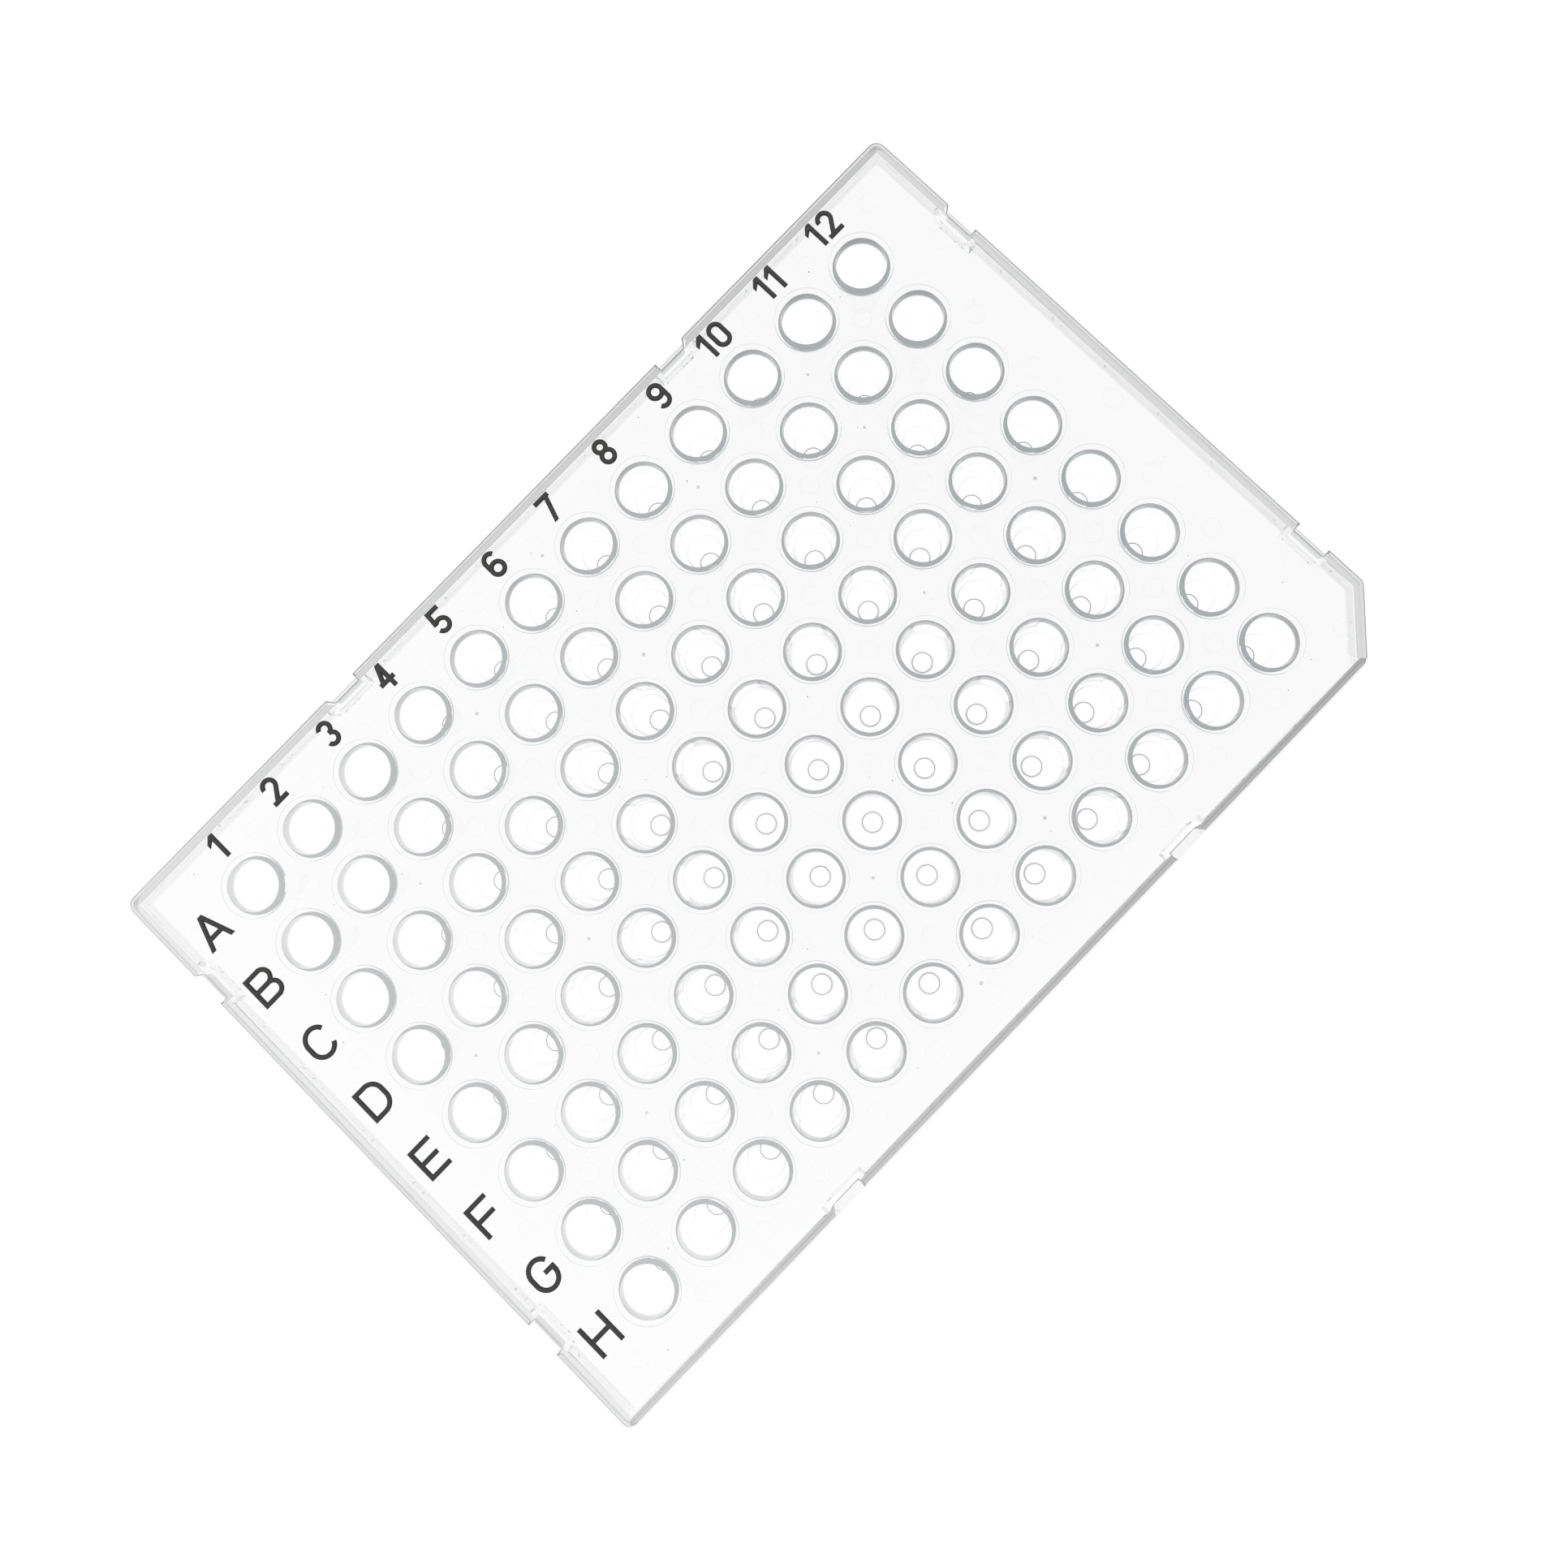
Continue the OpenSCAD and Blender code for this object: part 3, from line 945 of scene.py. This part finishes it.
@dataclass(frozen=True)
class DeckMarks:
    """The faint rings of the ejectors, the gate points and the flecks, as one object."""

    marks: MarkSizes = MarkSizes()
    plate: PlateSizes = PlateSizes()
    well: WellSizes = WellSizes()

    def _on_deck(self, x: float, y: float) -> tuple[float, float, float]:
        """A place just above the deck."""
        return (x, y, self.plate.deck_z + self.marks.clearance)

    def _gap(self, column: float, row: float) -> tuple[float, float, float]:
        """The middle between four wells: after a column and after a row."""
        w = self.well
        return self._on_deck((column - w.columns / 2) * w.pitch, (w.rows / 2 - row) * w.pitch)

    def _turned(
        self, name: str, profile: Sequence[tuple[float, float]], region: Region, sides: int
    ) -> bpy.types.Object:
        """Makes a thin closed body of revolution.

        Args:
            name: the object's name.
            profile: radii and heights. Two points make a disc and more make a hoop.
            region: the region that gives its tone.
            sides: points round it.

        Returns:
            The object, to be repeated.
        """
        draft = Draft()
        angle = np.arange(sides) * math.tau / sides
        rings = [
            draft.ring(np.c_[np.cos(angle) * r, np.sin(angle) * r, np.full(sides, z)])
            for r, z in profile
        ]
        for a, b in zip(rings, rings[1:]):
            draft.bridge(a, b, region)
        if len(profile) > 2:
            draft.bridge(rings[-1], rings[0], region)
        else:
            draft.fan(rings[0][::-1], (0, 0, profile[0][1]), region)
            draft.fan(rings[-1], (0, 0, profile[-1][1]), region)
        return new_object(name, draft.mesh(name))

    def _fleck_places(self) -> list[tuple[float, float, float]]:
        """Strews the flecks over the deck, clear of the wells' rims.

        Returns:
            Their places.
        """
        m, p, w = self.marks, self.plate, self.well
        across, up = m.fleck_reach
        rng = np.random.default_rng(m.fleck_seed)
        spots = []
        while len(spots) < m.fleck_count:
            x = rng.uniform(-across, across) * p.deck_l
            y = rng.uniform(-up, up) * p.deck_w
            from_axis = math.hypot(x % w.pitch - w.pitch / 2, y % w.pitch - w.pitch / 2)
            if from_axis > w.rim_r + m.rim_clearance:
                spots.append(self._on_deck(x, y))
        return spots

    def _scatter(
        self,
        cell: bpy.types.Object,
        places: Sequence[Sequence[float]],
        scales: tuple[float, float],
        finish: bpy.types.Material,
    ) -> bpy.types.Mesh:
        """Sets copies of a mark on places, each at a scale of its own.

        Args:
            cell: the mark.
            places: points in millimetres.
            scales: smallest and largest scale.
            finish: material of the marks.

        Returns:
            The mesh of all the copies.
        """

        def instances(
            add: Adder,
            given: bpy.types.bpy_prop_collection,
            mark: bpy.types.NodeSocket,
        ) -> bpy.types.NodeSocket:
            """Places a mark on each point.

            Args:
                add: adds a node.
                given: the group's inputs.
                mark: the mark's geometry.

            Returns:
                The output with the instances.
            """
            span = {"Min": given["Smallest"], "Max": given["Largest"], "Seed": given["Seed"]}
            scale = add("FunctionNodeRandomValue", span, data_type="FLOAT")
            size = next(output for output in scale.outputs if output.enabled)
            spots = {"Points": given["Geometry"], "Instance": mark, "Scale": size}
            return add("GeometryNodeInstanceOnPoints", spots).outputs["Instances"]

        points = bpy.data.meshes.new(cell.name + "_places")
        points.from_pydata([tuple(c * MM for c in place) for place in places], [], [])
        inputs = {
            "Cell": ("NodeSocketObject", cell),
            "Smallest": ("NodeSocketFloat", scales[0]),
            "Largest": ("NodeSocketFloat", scales[1]),
            "Seed": ("NodeSocketInt", self.marks.scale_seed),
            "Finish": ("NodeSocketMaterial", finish),
        }
        return repeat(cell.name + "_scatter", points, inputs, instances)

    def build(self, finish: bpy.types.Material) -> bpy.types.Object:
        """Makes the marks.

        Args:
            finish: their material.

        Returns:
            Their object.
        """
        m, w = self.marks, self.well
        r, inner_r, t = m.ejector_r, m.ejector_r - m.ejector_line, m.thickness
        hoop = ((inner_r, 0.0), (r, 0.0), (r, t), (inner_r, t))
        point = ((m.gate_r, 0.0), (m.gate_r * 0.7, t))
        speck = ((m.fleck_r, 0.0), (m.fleck_r * 0.5, t))
        ejectors = [
            self._gap(column, row)
            for column in range(1, w.columns)
            for row in range(w.rows + 1)
            if (column, row) not in m.gates
        ] + [self._on_deck(*place) for place in m.end_ejectors]
        gates = [self._gap(*place) for place in m.gates + m.side_gates]
        bm = bmesh.new()
        for cell, places, scales in (
            (self._turned("ejector", hoop, Region.EJECTOR_LINE, 24), ejectors, m.ejector_scales),
            (self._turned("gate", point, Region.GATE, 16), gates, m.gate_scales),
            (self._turned("fleck", speck, Region.FLECK, 6), self._fleck_places(), m.fleck_scales),
        ):
            bm.from_mesh(self._scatter(cell, places, scales, finish))
        return finished("deck_marks", bm)


@dataclass(frozen=True)
class Characters:
    """The raised letters and numbers, rounded over at the top. grow moves their sides outward,
    and steps are the widths and rises of the strips that round the top."""

    grow: float = -0.02
    steps: tuple[tuple[float, float], ...] = ((0.05, 0.09), (0.08, 0.04))
    flat_degrees: float = 0.5
    least_reach: float = 0.5

    def _move_sides(self, bm: bmesh.types.BMesh) -> None:
        """Moves the upright sides of the characters outward by grow.

        Args:
            bm: the characters' working mesh.
        """
        moves = []
        for vert in bm.verts:
            sides = [face.normal for face in vert.link_faces if abs(face.normal.z) < 0.5]
            away = sum(sides, Vector()).normalized()
            reach = max(self.least_reach, min((away.dot(n) for n in sides), default=1.0))
            moves.append((vert, away * (self.grow * MM / reach)))
        for vert, move in moves:
            vert.co += move

    def build(self, source: bpy.types.Object) -> bpy.types.Object:
        """Makes the characters from the CAD solids.

        Args:
            source: the CAD object, which stays as it is.

        Returns:
            The characters' object.
        """
        bm = bmesh.new()
        bm.from_mesh(source.data)
        bm.transform(source.matrix_world)
        bmesh.ops.remove_doubles(bm, verts=bm.verts, dist=MERGE_MM * MM)
        limit = math.radians(self.flat_degrees)
        bmesh.ops.dissolve_limit(bm, angle_limit=limit, verts=bm.verts, edges=bm.edges)
        bm.normal_update()
        self._move_sides(bm)
        top = [face for face in bm.faces if face.normal.z > 0.99]
        drop = sum(depth for _, depth in self.steps) * MM
        for vert in {v for face in top for v in face.verts}:
            vert.co.z -= drop
        for width, depth in self.steps:
            bmesh.ops.inset_region(
                bm, faces=top, thickness=width * MM, depth=depth * MM, use_even_offset=True
            )
        return finished("characters", bm)


# ---- materials --------------------------------------------------------------


def linear(hex_colour: str) -> tuple[float, float, float, float]:
    """Turns an sRGB colour to linear.

    Args:
        hex_colour: the colour, such as "2e2f2c".

    Returns:
        Its linear red, green, blue and alpha.
    """
    channels = [int(hex_colour[i : i + 2], 16) / 255 for i in (0, 2, 4)]
    rgb = [c / 12.92 if c <= 0.04045 else ((c + 0.055) / 1.055) ** 2.4 for c in channels]
    return (*rgb, 1.0)


def new_material(name: str) -> tuple[bpy.types.Material, Adder]:
    """Makes an empty node material.

    Args:
        name: the material's name.

    Returns:
        The material and the function that adds nodes to it.
    """
    material = bpy.data.materials.new(name)
    material.use_nodes = True
    material.node_tree.nodes.clear()
    return material, partial(add_node, material.node_tree)


@dataclass(frozen=True)
class NaturalPolypropylene:
    """Natural polypropylene, moulded against polished steel: clear where it is thin, with cool
    grey light caught in every wall that is seen along its length, painted as a grey diffuse
    colour, and a little milk. Its tones are painted lighter and warmer at column 1 than at
    column 12, as painted light. Light counts as being in the first wall up to first_wall
    refractions and as lost after way_out bounces, and from total on its reflection inside is
    total."""

    caught_cool: str = "dffaff"
    caught_warm: str = "eefeff"
    milk_colour: str = "f3f6f7"
    milk: float = 0.02
    ior: float = 1.49
    gloss_roughness: float = 0.08
    soft_light: float = 0.98
    lit_end_power: float = 0.55
    shaded_end_power: float = 1.0
    half_length: float = 0.055
    first_wall: float = 1.5
    way_out: float = 7.0
    total: float = 0.999

    def build(self) -> bpy.types.Material:
        """Makes the material, which takes its tones from the mesh.

        Returns:
            The material.
        """
        material, add = new_material("natural_polypropylene")
        tone = {
            name: add("ShaderNodeAttribute", attribute_name=name).outputs["Fac"]
            for name in TONE_LAYERS
        }
        inside = add("ShaderNodeNewGeometry").outputs["Backfacing"]
        outside = add("ShaderNodeMath", {0: 1.0, 1: inside}, operation="SUBTRACT").outputs[0]
        fresnel = add("ShaderNodeFresnel", {"IOR": self.ior}).outputs[0]
        path = add("ShaderNodeLightPath").outputs

        # painted light: the tones are painted lighter at column 1 than at column 12
        place = add("ShaderNodeTexCoord").outputs["Object"]
        along = {
            "Value": add("ShaderNodeSeparateXYZ", {0: place}).outputs["X"],
            "From Min": -self.half_length,
            "From Max": self.half_length,
        }
        ends = {"To Min": self.lit_end_power, "To Max": self.shaded_end_power}
        painted_shade_power = add("ShaderNodeMapRange", {**along, **ends}).outputs[0]
        share = add("ShaderNodeMapRange", along).outputs[0]

        # through the surface, with a polished gloss on the outside
        depth = {0: path["Transmission Depth"], 1: self.first_wall}
        first = add("ShaderNodeMath", depth, operation="LESS_THAN").outputs[0]
        passing = add("ShaderNodeMath", {0: tone["passing"], 1: painted_shade_power}, operation="POWER")
        passed = add(
            "ShaderNodeMix", {"Factor": first, "A": tone["deep"], "B": passing.outputs[0]}
        ).outputs[0]
        refract = add(
            "ShaderNodeBsdfRefraction", {"Color": passed, "Roughness": 0.0, "IOR": self.ior}
        ).outputs[0]
        gloss = add(
            "ShaderNodeBsdfGlossy", {"Color": WHITE, "Roughness": self.gloss_roughness}
        ).outputs[0]
        glossy = add("ShaderNodeMath", {0: fresnel, 1: outside}, operation="MULTIPLY").outputs[0]
        clear = add("ShaderNodeMixShader", {0: glossy, 1: refract, 2: gloss}).outputs[0]

        # the milk of the unpigmented plastic
        milk_colour = linear(self.milk_colour)
        diffuse = add("ShaderNodeBsdfDiffuse", {"Color": milk_colour}).outputs[0]
        glow = add("ShaderNodeBsdfTranslucent", {"Color": milk_colour}).outputs[0]
        milk = add("ShaderNodeMixShader", {0: 0.5, 1: diffuse, 2: glow}).outputs[0]
        milky = add("ShaderNodeMath", {0: outside, 1: self.milk}, operation="MULTIPLY").outputs[0]
        body = add("ShaderNodeMixShader", {0: milky, 1: clear, 2: milk}).outputs[0]

        # light that can't leave the wall it first went into stays caught there, as painted shade:
        # a grey diffuse colour stands in for it; further on, it turns like on a mirror, until its
        # way gets too long
        level = add("ShaderNodeMath", {0: tone["caught"], 1: painted_shade_power}, operation="POWER").outputs[0]
        # painted light: the caught light's tint is painted warmer at column 1 and cooler at
        # column 12
        ends = {6: linear(self.caught_warm), 7: linear(self.caught_cool)}
        tint = add("ShaderNodeMix", {"Factor": share, **ends}, data_type="RGBA").outputs[2]
        lack = add("ShaderNodeMath", {0: 1.0, 1: level}, operation="SUBTRACT").outputs[0]
        ends = {6: WHITE, 7: tint}
        tint = add("ShaderNodeMix", {"Factor": lack, **ends}, data_type="RGBA").outputs[2]
        caught = add(
            "ShaderNodeMix",
            {"Factor": 1.0, 6: level, 7: tint},
            data_type="RGBA",
            blend_type="MULTIPLY",
        ).outputs[2]
        guided = add("ShaderNodeBsdfDiffuse", {"Color": caught}).outputs[0]
        mirror = add(
            "ShaderNodeBsdfGlossy", {"Color": tone["deep"], "Roughness": 0.0}
        ).outputs[0]
        way = {0: path["Ray Depth"], 1: self.way_out}
        long_way = add("ShaderNodeMath", way, operation="GREATER_THAN").outputs[0]
        stays = add("ShaderNodeMath", {0: first, 1: long_way}, operation="MAXIMUM").outputs[0]
        kept = add("ShaderNodeMixShader", {0: stays, 1: mirror, 2: guided}).outputs[0]
        steepness = {0: fresnel, 1: self.total}
        whole = add("ShaderNodeMath", steepness, operation="GREATER_THAN").outputs[0]
        turned = add("ShaderNodeMath", {0: whole, 1: inside}, operation="MULTIPLY").outputs[0]
        body = add("ShaderNodeMixShader", {0: turned, 1: body, 2: kept}).outputs[0]

        # soft light goes straight through
        grey = (self.soft_light,) * 3 + (1.0,)
        thin = add("ShaderNodeBsdfTransparent", {"Color": grey}).outputs[0]
        soft_rays = {0: path["Is Shadow Ray"], 1: path["Is Diffuse Ray"]}
        soft = add("ShaderNodeMath", soft_rays, operation="MAXIMUM").outputs[0]
        surface = add("ShaderNodeMixShader", {0: soft, 1: body, 2: thin}).outputs[0]
        add("ShaderNodeOutputMaterial", {"Surface": surface})
        return material


@dataclass(frozen=True)
class BlackInk:
    """Black ink, printed on the raised characters: dense on their rounded edges, with a painted
    highlight that makes their flat tops greyer, and a little flecked on their flat tops."""

    dense: str = "0e0f0d"
    top_highlight: str = "3c3d3a"
    bare: str = "8c8e90"
    roughness: float = 0.45
    specular: float = 0.35
    flat_from: float = 0.8
    flat_to: float = 0.98
    # flecks about 0.17 mm apart, coarse enough to show
    grain_scale: float = 6000.0
    grain_from: float = 0.7
    grain_to: float = 0.77

    def build(self) -> bpy.types.Material:
        """Makes the material.

        Returns:
            The material.
        """
        material, add = new_material("black_ink")
        coordinates = add("ShaderNodeTexCoord").outputs
        # painted highlight: faces that look up are mixed towards the greyer top colour
        up = add("ShaderNodeSeparateXYZ", {0: coordinates["Normal"]}).outputs["Z"]
        tilt = {"Value": up, "From Min": self.flat_from, "From Max": self.flat_to}
        flat = add("ShaderNodeMapRange", tilt).outputs[0]
        ends = {6: linear(self.dense), 7: linear(self.top_highlight)}
        colour = add("ShaderNodeMix", {"Factor": flat, **ends}, data_type="RGBA").outputs[2]
        pattern = {"Vector": coordinates["Object"], "Scale": self.grain_scale}
        grain = add("ShaderNodeTexNoise", pattern).outputs["Fac"]
        worn = {"Value": grain, "From Min": self.grain_from, "From Max": self.grain_to}
        bare = add("ShaderNodeMapRange", worn).outputs[0]
        ends = {6: colour, 7: linear(self.bare)}
        colour = add("ShaderNodeMix", {"Factor": bare, **ends}, data_type="RGBA").outputs[2]
        surface = add(
            "ShaderNodeBsdfPrincipled",
            {
                "Base Color": colour,
                "Roughness": self.roughness,
                "Specular IOR Level": self.specular,
            },
        ).outputs[0]
        add("ShaderNodeOutputMaterial", {"Surface": surface})
        return material


# ---- studio -----------------------------------------------------------------


@dataclass(frozen=True)
class Studio:
    """Floor, light and camera. The floor glows a little, so the plate's shadow on it is
    faint, and the light may bounce often enough to pass many clear walls."""

    floor_size: float = 3.0
    floor_z: float = -0.00005
    floor_matt: float = 0.28
    floor_glow: float = 0.81
    room: tuple[float, float, float, float] = (0.805, 0.81, 0.81, 1.0)
    place: tuple[float, float, float] = (0.002716, -0.016038, 0.210853)
    turn: tuple[float, float, float] = (5.60327, 3.52062, -45.77919)
    focal_mm: float = 40.2
    sensor_mm: float = 36.0
    shift: tuple[float, float] = (0.00947, -0.06885)
    clip: tuple[float, float] = (0.01, 20.0)
    clear_bounces: int = 24
    glossy_bounces: int = 16
    transparent_bounces: int = 40

    def floor(self) -> None:
        """Lays the white floor."""
        bpy.ops.mesh.primitive_plane_add(size=self.floor_size, location=(0, 0, self.floor_z))
        floor = bpy.context.object
        floor.name = "studio_floor"
        material, add = new_material("white_floor")
        grey = (self.floor_matt,) * 3 + (1.0,)
        matt = add("ShaderNodeBsdfDiffuse", {"Color": grey}).outputs[0]
        light = {"Color": WHITE, "Strength": self.floor_glow}
        glow = add("ShaderNodeEmission", light).outputs[0]
        surface = add("ShaderNodeAddShader", {0: matt, 1: glow}).outputs[0]
        add("ShaderNodeOutputMaterial", {"Surface": surface})
        floor.data.materials.append(material)

    def lights(self) -> None:
        """Lights the plate evenly from all round, in a room that looks white."""
        world = bpy.data.worlds.new("white_room")
        bpy.context.scene.world = world
        world.use_nodes = True
        world.node_tree.nodes.clear()
        add = partial(add_node, world.node_tree)
        lamp = add("ShaderNodeBackground", {"Color": self.room, "Strength": 1.0}).outputs[0]
        white = add("ShaderNodeBackground", {"Color": WHITE, "Strength": 1.0}).outputs[0]
        path = add("ShaderNodeLightPath").outputs
        seen = path["Is Camera Ray"]
        for ray in ("Is Glossy Ray", "Is Transmission Ray"):
            seen = add("ShaderNodeMath", {0: seen, 1: path[ray]}, operation="MAXIMUM").outputs[0]
        back = add("ShaderNodeMixShader", {0: seen, 1: lamp, 2: white}).outputs[0]
        add("ShaderNodeOutputWorld", {"Surface": back})

    def camera(self) -> None:
        """Sets up the camera."""
        data = bpy.data.cameras.new("camera")
        camera = new_object("camera", data)
        camera.location = self.place
        camera.rotation_euler = [math.radians(angle) for angle in self.turn]
        data.lens = self.focal_mm
        data.sensor_width = self.sensor_mm
        data.shift_x, data.shift_y = self.shift
        data.clip_start, data.clip_end = self.clip
        bpy.context.scene.camera = camera

    def build(self) -> None:
        """Sets up the whole studio."""
        self.floor()
        self.lights()
        self.camera()
        bpy.context.scene.view_settings.view_transform = "Standard"
        cycles = bpy.context.scene.cycles
        cycles.max_bounces = cycles.transmission_bounces = self.clear_bounces
        cycles.glossy_bounces = self.glossy_bounces
        cycles.transparent_max_bounces = self.transparent_bounces


# ---- assembly ---------------------------------------------------------------


def main() -> None:
    """Builds every piece around the frame, dresses it and reports it."""
    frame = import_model()
    plastic, ink = NaturalPolypropylene().build(), BlackInk().build()
    moulding = Moulding().build(plastic)
    marks = DeckMarks().build(plastic)
    characters = Characters().build(frame["nodes"]["well_labels"])
    for piece, material, slot in (
        (moulding, plastic, Slot.BODY),
        (marks, plastic, Slot.BODY),
        (characters, ink, Slot.INK),
    ):
        piece.data.materials.clear()
        piece.data.materials.append(material)
        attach(piece, "root")
        log.info("%s: %d faces of %s", piece.name, len(piece.data.polygons), material.name)
    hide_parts("plate")
    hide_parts("well_labels")
    Studio().build()


if __name__ == "__main__":
    main()
